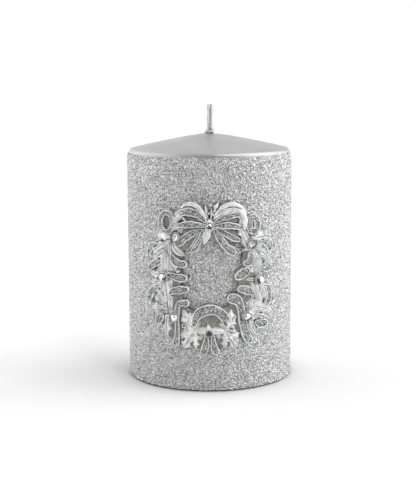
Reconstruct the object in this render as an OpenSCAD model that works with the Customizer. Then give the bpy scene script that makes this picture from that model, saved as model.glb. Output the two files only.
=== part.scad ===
// Silver pillar candle with a glass-grit coat and a wreath-and-bow ornament.
// Millimetres. +Z is up, the origin is the centre of the base, the ornament faces -Y.
// Left and right are as seen from the front.

/* [Candle] */
// Diameter over the glass grit
candle_d = 68; // [57:1:84]
// Height from the base to the tip of the conical top
candle_h = 100; // [84:1:160]
// Slope of the conical top in degrees
top_slope = 10.5; // [4:0.5:20]
// Radius of the rounded shoulder between the side and the top
shoulder_r = 1.6; // [0.6:0.1:4]
// Radius of the rounded edge at the base
base_edge_r = 0.8; // [0.3:0.1:2]

/* [Coats] */
// Thickness of the silver lacquer
lacquer_t = 0.25; // [0.1:0.05:0.6]
// Thickness of the glass grit and its binder
grit_t = 0.75; // [0.4:0.05:1.5]
// Lacquer left bare between the base edge and the grit
grit_foot = 0.3; // [0:0.1:5]

/* [Wick] */
// Diameter of the braided wick
wick_d = 2.4; // [1.5:0.1:4]
// Length of wick that stands out of the top
wick_out = 12; // [4:1:25]
// Height of the wax collar drawn up around the wick
collar_h = 1.1; // [0.3:0.1:3]
// Width of that collar at its foot
collar_w = 1.2; // [0.4:0.1:3]
// Diameter of the steel sustainer disc in the base
sustainer_d = 18; // [10:1:30]
// Sheet thickness of the sustainer
sustainer_t = 0.4; // [0.2:0.1:1]
// Height of the sustainer's crimped neck above the base
neck_h = 6; // [3:0.5:12]

/* [Wreath] */
// Width of the wreath, measured around the candle
wreath_w = 52; // [43:1:62]
// Height of the wreath's centre above the base
wreath_z = 45; // [40:1:110]
// Thickness of the adhesive behind the wreath
glue_t = 0.3; // [0.1:0.05:0.6]
// Thickness of the backing that carries the curls
backing_t = 0.7; // [0.4:0.1:1.5]
// Thickness of the ribbon curls
curl_t = 1; // [0.7:0.1:2]
// Floor left under the glitter in a ribbon
floor_t = 0.4; // [0.2:0.05:0.6]
// Depth of the glitter in a ribbon
glitter_t = 0.35; // [0.1:0.05:0.5]
// Width of the raised lip along a ribbon
lip_w = 0.45; // [0.3:0.05:0.8]
// Thickness of the leaves and of the bow loops
leaf_t = 0.9; // [0.6:0.1:2]
// Thickness of the bow's knot
knot_t = 0.9; // [0.5:0.1:2]

/* [Stones] */
// Diameter of the large rhinestones
stone_large_d = 3.3; // [2.5:0.1:4.2]
// Diameter of the small rhinestones
stone_small_d = 2.2; // [1.5:0.1:3]
// Wall of the cup around a rhinestone
cup_wall = 0.35; // [0.2:0.05:0.7]
// Depth of the pocket that a rhinestone sits in
pocket_t = 0.6; // [0.3:0.1:1]
// Radial clearance around rhinestones and their cups
fit = 0.05; // [0.02:0.01:0.15]

/* [Hidden] */
$fn = 128;

WHITE_SILVER = [0.83, 0.83, 0.82];
LACQUER_SILVER = [0.74, 0.74, 0.74];
GRIT_SILVER = [0.62, 0.62, 0.61];
GLITTER_GREY = [0.45, 0.46, 0.47];
CLEAR_STONE = [0.88, 0.9, 0.93];
WAX = [0.93, 0.92, 0.88];
WICK = [0.92, 0.9, 0.84];
STEEL = [0.6, 0.61, 0.63];
UMBER = [0.5, 0.46, 0.4];

// Radii of the candle's layers, from the wax outwards.
grit_r = candle_d / 2;
lacquer_r = grit_r - grit_t;
wax_r = lacquer_r - lacquer_t;
// Radii of the wreath's layers, from the grit outwards.
backing_r = grit_r + glue_t;
curl_r = backing_r + backing_t;
leaf_r = curl_r + curl_t;
knot_r = leaf_r + leaf_t;
crown_r = knot_r + knot_t;

wax_h = candle_h - lacquer_t / cos(top_slope);
// Centre of the shoulder's arc, which the wax and the lacquer share.
shoulder_x = wax_r - shoulder_r;
shoulder_z = wax_h - shoulder_x * tan(top_slope) - shoulder_r / cos(top_slope);
grit_z = base_edge_r + grit_foot;
wick_r = wick_d / 2;
neck_wall = sustainer_t;

// The wreath is drawn on its own flat sheet, 52 wide, with x around the candle and y up.
SHEET_W = 52;
k = wreath_w / SHEET_W;
ARC_STEPS = 8;
CURVE_STEPS = 10;

// Curls, as [name, four control points of the centreline, width].
CURLS = [
    ["curl_left_outer_1", [[-17.3, 12], [-20.5, 14.6], [-25.2, 13], [-25.3, 8.5]], 2.6],
    ["curl_left_outer_2", [[-17.5, 4.5], [-20, 6], [-23, 5.5], [-24.7, 3.8]], 3],
    ["curl_left_outer_3", [[-18.2, -4], [-21, -4], [-24.5, -4.5], [-25.3, -9]], 2.6],
    ["curl_left_outer_4", [[-16.3, -14.5], [-18, -14.2], [-19.5, -15], [-21, -16]], 3.4],
    ["curl_left_inner_1", [[-15, 9.8], [-14.8, 7.5], [-12.5, 5.3], [-9.3, 6.3]], 2.7],
    ["curl_left_inner_2", [[-16.2, 1.8], [-14, 0.5], [-11.5, 0], [-9.4, 1.2]], 2.7],
    ["curl_left_inner_3", [[-14.7, -4.5], [-13, -4], [-11, -3.7], [-9, -3]], 2.9],
    ["curl_left_inner_4", [[-9, -9], [-15.5, -9], [-11.5, -18], [-13.2, -25]], 2.7],
    ["curl_right_outer_1", [[18.4, 13.4], [20.5, 14.6], [23, 14], [25, 11.2]], 3],
    ["curl_right_outer_2", [[18.7, 2.6], [20.8, 2.5], [23, 3], [25, 4.3]], 3],
    ["curl_right_outer_3", [[19, -4], [23.5, -2], [25.5, -6], [23, -11]], 2.6],
    ["curl_right_outer_4", [[16, -15.6], [18, -17], [20, -17.8], [22.3, -18.5]], 3],
    ["curl_right_inner_1", [[13, 6.1], [15.5, 6.1], [17, 7.9], [16.6, 10.2]], 3],
    ["curl_right_inner_2", [[10.6, 0.8], [12, 1.2], [13.6, 2.2], [15.2, 3.1]], 3],
    ["curl_right_inner_3", [[10.7, -3.5], [12.5, -3.5], [14.5, -4.5], [16.5, -6]], 3],
    ["curl_right_inner_4", [[7.6, -7], [12.8, -7], [9.8, -17], [14.3, -24.3]], 2.9],
    ["curl_arch", [[-6.3, -17.2], [-4.2, -8], [4.2, -8], [6.3, -17]], 3.1],
    ["curl_tail_left", [[-1.6, -23.4], [-2, -25], [-3, -27], [-3.2, -28.6]], 2.5],
    ["curl_tail_right", [[1.5, -23.4], [1.6, -25.5], [3, -27], [3.2, -28.6]], 2.5]
];

// Closed curls at the two ends of the bow, as [name, centre, half width, half height].
RINGS = [
    ["curl_left_ring", [-16.7, 22.8], 3.3, 5.2],
    ["curl_right_ring", [16.6, 21.8], 3.2, 4.4]
];
RING_BAND = 1.9;

// Bow tails lie with the curls, bow loops with the leaves: [name, [[path, width], ...]].
BOW_TAILS = [
    ["bow_tail_left", [
        [[[-2.2, 19.6], [-5.5, 20.5], [-9, 17.5], [-11, 12.8]], 2.7],
        [[[-2.4, 19], [-4.2, 17], [-6, 14.5], [-7.6, 11.6]], 2.4],
        [[[-1.7, 19.5], [-1.8, 18], [-2, 16.5], [-2.2, 15]], 2.2]]],
    ["bow_tail_right", [
        [[[2.2, 19.6], [5, 19.5], [8, 16.5], [10.6, 15.4]], 2.5],
        [[[2.3, 19.2], [4, 16.5], [6, 13], [8.8, 11]], 2.8]]]
];
BOW_LOOPS = [
    ["bow_loop_left", [
        [[[-1.7, 22.5], [-3, 29.5], [-9.5, 31.5], [-11.7, 25.8]], 2.6],
        [[[-11.7, 25.8], [-12.3, 24], [-12.3, 23], [-11.3, 21.3]], 2.6],
        [[[-1.7, 21.6], [-5, 22.8], [-8, 22.2], [-11.3, 21.3]], 2.6]]],
    ["bow_loop_right", [
        [[[1.7, 22.5], [4, 30], [11, 32.5], [13, 25.8]], 2.9],
        [[[13, 25.8], [13.8, 23.5], [13.8, 22], [12.8, 20.2]], 2.6],
        [[[1.7, 21.6], [5, 22.6], [9, 22.4], [12.8, 20.2]], 2.6]]]
];

// Leaf sprigs, as [name, [[root, tip, width], ...], the stone they surround, if any].
SPRIGS = [
    ["leaf_left_0", [[[-14.3, 21.5], [-18.8, 20.4], 1.8]], ""],
    ["leaf_left_1", [[[-14, 17.4], [-21.8, 17.4], 3.6], [[-14.5, 15], [-24, 7.8], 5.6],
        [[-14.5, 14.5], [-13.4, 2.6], 4.8], [[-14, 14.5], [-9.6, 9], 3.6]], "rhinestone_left_top"],
    ["leaf_left_2", [[[-18, 1], [-25, 1.6], 3], [[-18, 0], [-24.8, -3], 3.2],
        [[-18, 0.5], [-16.6, -8], 4]], "rhinestone_left_mid"],
    ["leaf_left_3", [[[-14, -13], [-25, -11.2], 4.6], [[-14.2, -13.5], [-14.6, -7.2], 2],
        [[-14.5, -15.5], [-18, -23], 3.6]], "rhinestone_left_low"],
    ["leaf_right_1", [[[16, 14.5], [21.6, 18.4], 2.8], [[15.5, 14], [25.8, 5.6], 4.4],
        [[15.5, 13.5], [18, 2.9], 4.6]], "rhinestone_right_top"],
    ["leaf_right_2", [[[19, 0], [13.6, -0.6], 1.8], [[18.5, -0.5], [17.6, -9], 4.6],
        [[19.5, -0.5], [22.4, -8.6], 3.4]], "rhinestone_right_mid"],
    ["leaf_right_3", [[[13.5, -13.5], [24.8, -15], 4.8],
        [[13.8, -13.5], [18.2, -22.8], 3.6]], "rhinestone_right_low"],
    ["leaf_bottom_left", [[[-4.6, -19.4], [-10, -26.8], 3.6], [[-4.4, -19.6], [-6, -26.2], 3],
        [[-4.6, -19], [-9.6, -12], 3.4]], ""],
    ["leaf_bottom_right", [[[4.6, -19.4], [10, -26.2], 3.6], [[4.4, -19.6], [5.4, -26], 3],
        [[4.6, -19], [8.8, -12], 3.2]], ""],
    ["leaf_bottom_cap", [[[-0.5, -20], [-4.2, -18.8], 3], [[-0.5, -20], [4, -18.8], 3]],
        "rhinestone_bottom"]
];
// Width of the cast ring that joins a sprig's leaves around its stone.
COLLAR_W = 0.6;
// Small leaves that stand up behind the bow's knot, with the curls.
BOW_SPRIG = [[[-0.8, 23], [-4, 29.6], 2.2], [[-0.5, 23], [-0.8, 30.4], 1.8],
    [[0, 23], [3.4, 29.6], 2.2]];

// Rhinestones, as [name, centre, diameter, radius that the cup stands on].
STONES = [
    ["rhinestone_bow", [-0.1, 21.6], stone_small_d, knot_r],
    ["rhinestone_left_top", [-13.7, 17], stone_large_d, curl_r],
    ["rhinestone_left_mid", [-18.7, 0.9], stone_large_d, curl_r],
    ["rhinestone_left_low", [-14.2, -14.8], stone_large_d, curl_r],
    ["rhinestone_bottom", [-0.3, -20.9], stone_small_d, curl_r],
    ["rhinestone_right_low", [13.8, -14.7], stone_large_d, curl_r],
    ["rhinestone_right_mid", [19.2, -0.6], stone_large_d, curl_r],
    ["rhinestone_right_top", [15.9, 14.2], stone_large_d, curl_r]
];
// Cups on the backing end this far above the leaves.
CUP_PROUD = 0.25;
// A brilliant's table and foot, and the height of its crown, as shares of its diameter.
TABLE_SHARE = 0.6;
FOOT_SHARE = 0.5;
CROWN_SHARE = 0.28;
girdle_t = 0.15;

// Backing: half sizes of the ring, of its hole, and of the part of the hole that reaches up
// between the bow's tails, with that part's centre.
RING_HALF = [21.5, 23];
HOLE_HALF = [11, 12];
TAIL_HOLE_CENTRE = [0.6, 9];
TAIL_HOLE_HALF = [9, 9.3];
// Pads: one under the bow, and one under each closed curl. Those two are narrower than the curl
// and drawn in towards the centre, so that they join the ring.
BOW_PAD_CENTRE = [0.6, 23.5];
BOW_PAD_HALF = [11.5, 5.2];
RING_PAD_SETBACK = 0.4;
RING_PAD_PULL = 0.93;
// The adhesive stops this far short of the backing's edges.
GLUE_SETBACK = 0.8;

KNOT_CENTRE = [0, 21.4];
KNOT_HALF = [2.1, 2.6];
// A leaf's rib: its height, and its width as a share of the leaf's.
rib_t = 0.25;
RIB_SHARE = 0.2;
// Cups further than this along the sheet don't touch a piece.
CUP_REACH = 15;

// ---- Curves on the flat sheet ----

function bezier(p, t) = pow(1 - t, 3) * p[0] + 3 * pow(1 - t, 2) * t * p[1]
    + 3 * (1 - t) * pow(t, 2) * p[2] + pow(t, 3) * p[3];
function bezier_slope(p, t) = pow(1 - t, 2) * (p[1] - p[0])
    + 2 * (1 - t) * t * (p[2] - p[1]) + pow(t, 2) * (p[3] - p[2]);
function heading(v) = atan2(v.y, v.x);
function polar(r, a) = [r * cos(a), r * sin(a)];

// Half of a ribbon's outline: one side at half width h, then the round end.
function side_and_end(p, h) = concat(
    [for (i = [0:CURVE_STEPS]) let (t = i / CURVE_STEPS)
        bezier(p, t) + polar(h, heading(bezier_slope(p, t)) + 90)],
    [for (i = [1:ARC_STEPS - 1])
        p[3] + polar(h, heading(p[3] - p[2]) + 90 - 180 * i / ARC_STEPS)]);
function reversed(p) = [for (i = [len(p) - 1:-1:0]) p[i]];
function ribbon(p, w) = concat(side_and_end(p, w / 2), side_and_end(reversed(p), w / 2));

function ellipse(centre, a, b, steps = 48) =
    [for (i = [0:steps - 1]) centre + [a * cos(360 * i / steps), b * sin(360 * i / steps)]];

// A leaf is widest at 0.4 of its length, blunt at the root and pointed at the tip.
function leaf_swell(s) = s < 0.4 ? 0.35 + 0.65 * sin(90 * s / 0.4) : cos(90 * (s - 0.4) / 0.6);
function leaf_outline(root, tip, w) = let (along = tip - root, out = heading(along) + 90)
    concat(
        [for (i = [0:ARC_STEPS]) let (s = i / ARC_STEPS)
            root + s * along + polar(w / 2 * leaf_swell(s), out)],
        [for (i = [ARC_STEPS - 1:-1:0]) let (s = i / ARC_STEPS)
            root + s * along - polar(w / 2 * leaf_swell(s), out)]);

function mean_x(p) = [for (v = p) v.x] * [for (v = p) 1] / len(p);

// ---- From the sheet to the candle ----

module tube(r_in, r_out) {
    difference() {
        cylinder(r = r_out, h = candle_h);
        translate([0, 0, -1]) cylinder(r = r_in, h = candle_h + 2);
    }
}

// Turns to the candle's side at sheet position x and stands the sheet up there.
module at_side(x) {
    rotate([0, 0, k * x / grit_r * 180 / PI]) translate([0, 0, wreath_z]) rotate([90, 0, 0])
        children();
}

// Bends a flat outline, drawn around sheet position x, into the layer between two radii.
module wrap(x, r_in, r_out) {
    intersection() {
        tube(r_in, r_out);
        at_side(x) linear_extrude(height = r_out + 1) scale(k) translate([-x, 0]) children();
    }
}

// The room that a rhinestone's cup takes out of what it stands in.
module cup_room(stone) {
    at_side(stone[1].x) translate([0, k * stone[1].y, stone[3] - 1])
        cylinder(r = cup_radius(stone) + fit, h = crown_r - stone[3] + 2);
}
function cup_radius(stone) = stone[2] / 2 + fit + cup_wall;
function collar_radius(stone) = cup_radius(stone) + fit + COLLAR_W;
function cup_top(stone) = stone[3] == knot_r ? crown_r : knot_r + CUP_PROUD;

module clear_of_cups(x) {
    difference() {
        children();
        for (s = STONES) if (abs(s[1].x - x) < CUP_REACH && s[3] == curl_r) cup_room(s);
    }
}

// ---- Candle ----

// Half section of the candle's body, grown outwards from the wax.
function shoulder(grow) = [for (i = [0:ARC_STEPS])
    [shoulder_x, shoulder_z] + polar(shoulder_r + grow, (90 - top_slope) * i / ARC_STEPS)];
function base_edge(grow) = let (r = base_edge_r + grow, dip = asin(base_edge_r / r))
    [for (i = [0:ARC_STEPS]) [wax_r - base_edge_r, base_edge_r] + polar(r, dip * (i / ARC_STEPS - 1))];
function tip_z(grow) = wax_h + grow / cos(top_slope);
function body_section(grow) = concat([[0, 0]], base_edge(grow), shoulder(grow), [[0, tip_z(grow)]]);

module wax_core() {
    color(WAX) difference() {
        rotate_extrude() polygon(body_section(0));
        translate([0, 0, -1]) cylinder(d = sustainer_d, h = sustainer_t + 1);
        cylinder(r = wick_r + neck_wall, h = neck_h);
        cylinder(r = wick_r, h = candle_h + 1);
    }
}

module lacquer_coat() {
    foot_z = tip_z(lacquer_t) - (wick_r + collar_w) * tan(top_slope);
    color(LACQUER_SILVER) difference() {
        union() {
            rotate_extrude() polygon(body_section(lacquer_t));
            rotate_extrude() polygon([[0, foot_z], [wick_r + collar_w, foot_z],
                [wick_r + collar_w / 4, foot_z + collar_h / 2], [wick_r, foot_z + collar_h],
                [0, foot_z + collar_h]]);
        }
        translate([0, 0, -1]) rotate_extrude() polygon(concat([[0, 0], [wax_r - base_edge_r, 0]],
            [for (p = concat(base_edge(0), shoulder(0), [[0, tip_z(0)]])) p + [0, 1]]));
        cylinder(r = wick_r, h = 2 * candle_h);
    }
}

module grit_coat() {
    color(GRIT_SILVER) translate([0, 0, grit_z]) difference() {
        cylinder(r = grit_r, h = shoulder_z - grit_z);
        translate([0, 0, -1]) cylinder(r = lacquer_r, h = shoulder_z - grit_z + 2);
    }
}

module wick() {
    color(WICK) translate([0, 0, sustainer_t])
        cylinder(r = wick_r, h = candle_h + wick_out - sustainer_t);
}

module wick_sustainer() {
    color(STEEL) {
        cylinder(d = sustainer_d, h = sustainer_t);
        difference() {
            cylinder(r = wick_r + neck_wall, h = neck_h);
            translate([0, 0, sustainer_t]) cylinder(r = wick_r, h = neck_h);
        }
    }
}

// ---- Wreath ----

// The ring under the curls and its pads, with every edge set back by inset.
module backing_outline(inset) {
    difference() {
        union() {
            polygon(ellipse([0, 0], RING_HALF.x - inset, RING_HALF.y - inset, 72));
            polygon(ellipse(BOW_PAD_CENTRE, BOW_PAD_HALF.x - inset, BOW_PAD_HALF.y - inset));
            for (r = RINGS) polygon(ellipse(RING_PAD_PULL * r[1], r[2] - RING_PAD_SETBACK - inset,
                r[3] - inset));
        }
        polygon(ellipse([0, 0], HOLE_HALF.x + inset, HOLE_HALF.y + inset, 72));
        polygon(ellipse(TAIL_HOLE_CENTRE, TAIL_HOLE_HALF.x + inset, TAIL_HOLE_HALF.y + inset));
    }
}

module wreath_adhesive() {
    color(UMBER) wrap(0, grit_r, backing_r) backing_outline(GLUE_SETBACK);
}

module wreath_backing() {
    color(UMBER) wrap(0, backing_r, curl_r) backing_outline(0);
}

// A strip with raised lips: its outline less the channel that the glitter fills.
module ribbon_strip(paths, r_in, thickness) {
    x = mean_x([for (p = paths) each p[0]]);
    difference() {
        wrap(x, r_in, r_in + thickness) for (p = paths) polygon(ribbon(p[0], p[1]));
        wrap(x, r_in + floor_t, r_in + thickness + 1)
            for (p = paths) polygon(ribbon(p[0], p[1] - 2 * lip_w / k));
    }
}

module ribbon_fill(paths, r_in) {
    x = mean_x([for (p = paths) each p[0]]);
    wrap(x, r_in + floor_t, r_in + floor_t + glitter_t)
        for (p = paths) polygon(ribbon(p[0], p[1] - 2 * lip_w / k));
}

module curl(c) {
    color(WHITE_SILVER) clear_of_cups(mean_x(c[1])) ribbon_strip([[c[1], c[2]]], curl_r, curl_t);
}

module ring_outline(r, inset) {
    difference() {
        polygon(ellipse(r[1], r[2] - inset, r[3] - inset));
        polygon(ellipse(r[1], r[2] - RING_BAND + inset, r[3] - RING_BAND + inset));
    }
}

module ring_curl(r) {
    color(WHITE_SILVER) clear_of_cups(r[1].x) difference() {
        wrap(r[1].x, curl_r, leaf_r) ring_outline(r, 0);
        wrap(r[1].x, curl_r + floor_t, leaf_r + 1) ring_outline(r, lip_w / k);
    }
}

module curl_glitter() {
    color(GLITTER_GREY) {
        for (c = CURLS) clear_of_cups(mean_x(c[1])) ribbon_fill([[c[1], c[2]]], curl_r);
        for (r = RINGS) clear_of_cups(r[1].x)
            wrap(r[1].x, curl_r + floor_t, curl_r + floor_t + glitter_t) ring_outline(r, lip_w / k);
    }
}

module bow_tail(b) {
    color(WHITE_SILVER) ribbon_strip(b[1], curl_r, curl_t);
}

module bow_loop(b) {
    color(WHITE_SILVER) ribbon_strip(b[1], leaf_r, leaf_t);
}

module bow_glitter() {
    color(GLITTER_GREY) {
        for (b = BOW_TAILS) ribbon_fill(b[1], curl_r);
        for (b = BOW_LOOPS) ribbon_fill(b[1], leaf_r);
    }
}

// Flat leaves, each with a raised rib.
module leaves(list, r_in, thickness) {
    x = mean_x([for (l = list) each [l[0], l[1]]]);
    wrap(x, r_in, r_in + thickness - rib_t) for (l = list) polygon(leaf_outline(l[0], l[1], l[2]));
    wrap(x, r_in, r_in + thickness) for (l = list)
        polygon(leaf_outline(l[0], l[1], RIB_SHARE * l[2]));
}

module sprig(s) {
    color(WHITE_SILVER) clear_of_cups(mean_x([for (l = s[1]) l[0]])) {
        leaves(s[1], leaf_r, leaf_t);
        for (stone = STONES) if (stone[0] == s[2]) wrap(stone[1].x, leaf_r, knot_r)
            polygon(ellipse(stone[1], collar_radius(stone) / k, collar_radius(stone) / k));
    }
}

module bow_sprig() {
    color(WHITE_SILVER) leaves(BOW_SPRIG, curl_r, curl_t);
}

module bow_knot() {
    color(WHITE_SILVER) difference() {
        wrap(0, knot_r, crown_r) polygon(ellipse(KNOT_CENTRE, KNOT_HALF.x, KNOT_HALF.y));
        cup_room(STONES[0]);
    }
}

// ---- Stones ----

// Places a shape on a rhinestone's axis, starting at radius r.
module on_stone(stone, r) {
    at_side(stone[1].x) translate([0, k * stone[1].y, r]) children();
}

module rhinestone_cups() {
    color(WHITE_SILVER) for (s = STONES) difference() {
        intersection() {
            on_stone(s, s[3] - 1) cylinder(r = cup_radius(s), h = cup_top(s) - s[3] + 1);
            tube(s[3], crown_r + 1);
        }
        on_stone(s, cup_top(s) - pocket_t) cylinder(d = s[2] + 2 * fit, h = pocket_t + 1);
    }
}

// A brilliant: a cone in the pocket, a thin girdle, and a crown that ends in a flat table.
module rhinestone(s) {
    color(CLEAR_STONE) on_stone(s, cup_top(s) - pocket_t) {
        cylinder(d1 = FOOT_SHARE * s[2], d2 = s[2], h = pocket_t - girdle_t);
        translate([0, 0, pocket_t - girdle_t]) cylinder(d = s[2], h = girdle_t);
        translate([0, 0, pocket_t]) cylinder(d1 = s[2], d2 = TABLE_SHARE * s[2], h = CROWN_SHARE * s[2]);
    }
}

wax_core();
lacquer_coat();
grit_coat();
wick();
wick_sustainer();
wreath_adhesive();
wreath_backing();
curl_glitter();
bow_glitter();
bow_sprig();
bow_knot();
rhinestone_cups();
for (c = CURLS) curl(c);
for (r = RINGS) ring_curl(r);
for (b = BOW_TAILS) bow_tail(b);
for (b = BOW_LOOPS) bow_loop(b);
for (s = SPRIGS) sprig(s);
for (s = STONES) rhinestone(s);
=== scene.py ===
import math

import bmesh
import bpy
import numpy as np
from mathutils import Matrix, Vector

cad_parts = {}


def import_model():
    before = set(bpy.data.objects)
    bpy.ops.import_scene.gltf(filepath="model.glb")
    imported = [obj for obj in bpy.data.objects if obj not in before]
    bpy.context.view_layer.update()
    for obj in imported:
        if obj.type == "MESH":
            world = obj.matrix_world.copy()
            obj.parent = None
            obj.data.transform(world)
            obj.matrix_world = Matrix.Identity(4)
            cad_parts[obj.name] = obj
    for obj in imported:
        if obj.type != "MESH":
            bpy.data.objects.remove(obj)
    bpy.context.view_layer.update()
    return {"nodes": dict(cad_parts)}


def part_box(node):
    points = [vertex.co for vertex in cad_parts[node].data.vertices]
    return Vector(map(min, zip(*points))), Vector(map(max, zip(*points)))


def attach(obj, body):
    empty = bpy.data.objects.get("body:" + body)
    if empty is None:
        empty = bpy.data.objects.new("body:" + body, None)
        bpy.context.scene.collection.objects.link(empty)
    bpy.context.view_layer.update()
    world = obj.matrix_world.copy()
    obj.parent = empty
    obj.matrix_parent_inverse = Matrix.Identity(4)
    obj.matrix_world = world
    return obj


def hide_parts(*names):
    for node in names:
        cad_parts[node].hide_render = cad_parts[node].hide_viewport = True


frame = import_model()

# Lengths are millimetres until metres(), on_candle() or round_axis() puts them into the frame.
# The wreath is drawn on a flat sheet: x runs around the candle, y up from the wreath's centre.
MM = 0.001


def low(node):
    return np.array(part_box(node)[0]) / MM


def high(node):
    return np.array(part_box(node)[1]) / MM


# Radii and heights that the frame gives. From BACK_R on, they are the wreath's layers.
GRIT_R = high("grit_coat")[0]
GRIT_LOW = low("grit_coat")[2]
GRIT_TOP = high("grit_coat")[2]
LACQUER_R = high("lacquer_coat")[0]
CONE_TIP = high("lacquer_coat")[2]
WICK_R = high("wick")[0]
WICK_TIP = high("wick")[2]
BACK_R = -low("wreath_adhesive")[1]
CURL_R = -low("wreath_backing")[1]
LEAF_R = -low("curl_arch")[1]
KNOT_R = -low("leaf_bottom_cap")[1]
CROWN_R = -low("bow_knot")[1]
BACKING_HALF_H = 23
WREATH_Z = low("wreath_backing")[2] + BACKING_HALF_H

# ---- The wreath's drawing ----

# Curls: [four control points of the centreline, half widths at the start, middle and end].
CURLS = {
    "curl_left_outer_1": [[(-20.8, 12.6), (-22.6, 13.4), (-24.6, 12.2), (-25, 9.6)], (1, 1.5, 1)],
    "curl_left_outer_2": [[(-19.6, 6.4), (-21.5, 6.4), (-23.2, 5.2), (-24.5, 3.7)], (1, 1.5, 1)],
    "curl_left_outer_3": [[(-21.4, -4.4), (-23.4, -4.8), (-24.6, -6.4), (-25.2, -8.8)], (1, 1.6, 1.1)],
    "curl_left_outer_4": [[(-19.2, -15.2), (-19.8, -15.6), (-20.4, -16.2), (-20.7, -17)], (1.4, 1.8, 1.4)],
    "curl_left_inner_1": [[(-14.6, 9.4), (-14.2, 7.6), (-12.6, 6.1), (-10, 6.2)], (0.9, 1.6, 1.4)],
    "curl_left_inner_2": [[(-16, 1.7), (-14, 1.4), (-12, 0.4), (-9.8, 0.7)], (0.9, 1.6, 1.5)],
    "curl_left_inner_3": [[(-15.4, -5), (-13.4, -4.3), (-11, -4), (-9.1, -3.8)], (1.3, 1.6, 1.5)],
    "curl_left_inner_4": [[(-9.2, -9.2), (-15.2, -8.2), (-11.2, -17.4), (-13.1, -25)], (1.6, 0.95, 1.4)],
    "curl_right_outer_1": [[(19.8, 14.4), (22, 15), (24.2, 13.6), (24.6, 11.4)], (1.1, 2, 1.5)],
    "curl_right_outer_2": [[(20.4, 4), (21.8, 4.2), (23.4, 3.9), (24.6, 3.5)], (1.1, 2, 1.5)],
    "curl_right_outer_3": [[(21.6, -3.4), (24.2, -4), (25.4, -7), (23.2, -10.6)], (0.9, 1.4, 1.2)],
    "curl_right_outer_4": [[(18.8, -18), (19.8, -18.5), (21, -18.6), (22, -18.4)], (1.3, 2, 1.6)],
    "curl_right_inner_1": [[(13.8, 6.3), (15.6, 6.2), (16.6, 7.6), (15.6, 9.8)], (1.2, 1.7, 1)],
    "curl_right_inner_2": [[(10.9, 1.2), (12, 1.8), (13.2, 2.7), (14.2, 3.4)], (1.5, 2, 1.5)],
    "curl_right_inner_3": [[(11.9, -3.8), (13.4, -3.9), (15, -4.7), (16.6, -6)], (1.4, 1.8, 1)],
    "curl_right_inner_4": [[(8.6, -7.4), (13.6, -8.4), (10.6, -16.4), (15, -24.2)], (2.1, 1.6, 1.8)],
    "curl_arch": [[(-6, -17.2), (-4.9, -9.9), (4.9, -9.7), (6.1, -17)], (1.4, 2.1, 1.5)],
    "curl_tail_left": [[(-1.4, -22.4), (-1.3, -24.6), (-1.8, -27), (-2.4, -28.3)], (0.8, 1.4, 1.5)],
    "curl_tail_right": [[(1.1, -22.4), (1.2, -24.6), (1.3, -27), (2.2, -28.2)], (0.8, 1.25, 1.6)],
}
# Closed curls: [centre, half sizes of the band's centreline, half width of the band].
HOOPS = {
    "curl_left_ring": [(-16.7, 22.3), (2.7, 3.8), 1.05],
    "curl_right_ring": [(16.9, 21.4), (1.75, 2.8), 1.4],
}
# Bow: each band is [finish, control points, half widths]; a glitter band is a channel with a fill.
BOW_TAILS = {
    "bow_tail_left": [
        ["glitter", [(-3.2, 19.6), (-6.4, 19), (-9.2, 16.6), (-12, 14.4)], (0.8, 1.5, 1.6)],
        ["plain", [(-3.6, 19.2), (-4.7, 17.2), (-6, 15), (-7.3, 12.6)], (0.25, 0.35, 0.35)],
        ["glitter", [(-2.5, 19.6), (-2.8, 17.4), (-4.2, 14.6), (-5.9, 12)], (0.7, 1.1, 1.1)],
        ["plain", [(-0.9, 20.4), (-0.8, 18.4), (-1.4, 16.4), (-2.3, 14.4)], (1, 1.5, 0.4)],
    ],
    "bow_tail_right": [
        ["glitter", [(2.6, 20.2), (5, 19.2), (7.4, 16.8), (10.6, 15.8)], (0.7, 1.25, 1)],
        ["plain", [(5.4, 14.8), (6.6, 13.9), (8, 13.2), (9.6, 12.4)], (0.3, 0.5, 0.4)],
        ["glitter", [(2.2, 19.8), (3.4, 16.6), (5.8, 12.8), (8.6, 10.9)], (0.9, 1.5, 1.5)],
    ],
}
BOW_LOOPS = {
    "bow_loop_left": [
        ["plain", [(-1.8, 24.8), (-3.2, 29.3), (-7, 31.8), (-10.2, 28.4)], (0.7, 0.8, 0.5)],
        ["glitter", [(-1.8, 23.4), (-3.6, 26.3), (-7, 28.3), (-11, 26)], (0.8, 1.6, 1.35)],
        ["plain", [(-10.2, 25.2), (-9.6, 24.6), (-8.9, 23.8), (-8.2, 22.8)], (0.25, 0.32, 0.25)],
        ["glitter", [(-1.7, 21.6), (-4.6, 22.2), (-8, 22.4), (-11.2, 21.4)], (0.7, 1.35, 1.1)],
    ],
    "bow_loop_right": [
        ["plain", [(1.8, 25), (4, 29.8), (9.8, 32.4), (13.3, 25.8)], (0.4, 0.85, 0.6)],
        ["plain", [(1.8, 24.2), (4.3, 27.6), (8.8, 29.4), (12.6, 25.8)], (0.4, 0.95, 0.8)],
        ["glitter", [(1.8, 22.8), (4.4, 25), (8.2, 26.2), (11.8, 25.4)], (0.6, 1.3, 1)],
        ["plain", [(11.2, 26.8), (12.7, 25.2), (13.1, 22.6), (12.6, 20.2)], (0.8, 1, 0.6)],
        ["glitter", [(1.7, 21.4), (4.6, 21.9), (8, 21.9), (11.8, 20.4)], (0.7, 1.35, 1)],
    ],
}
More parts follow.
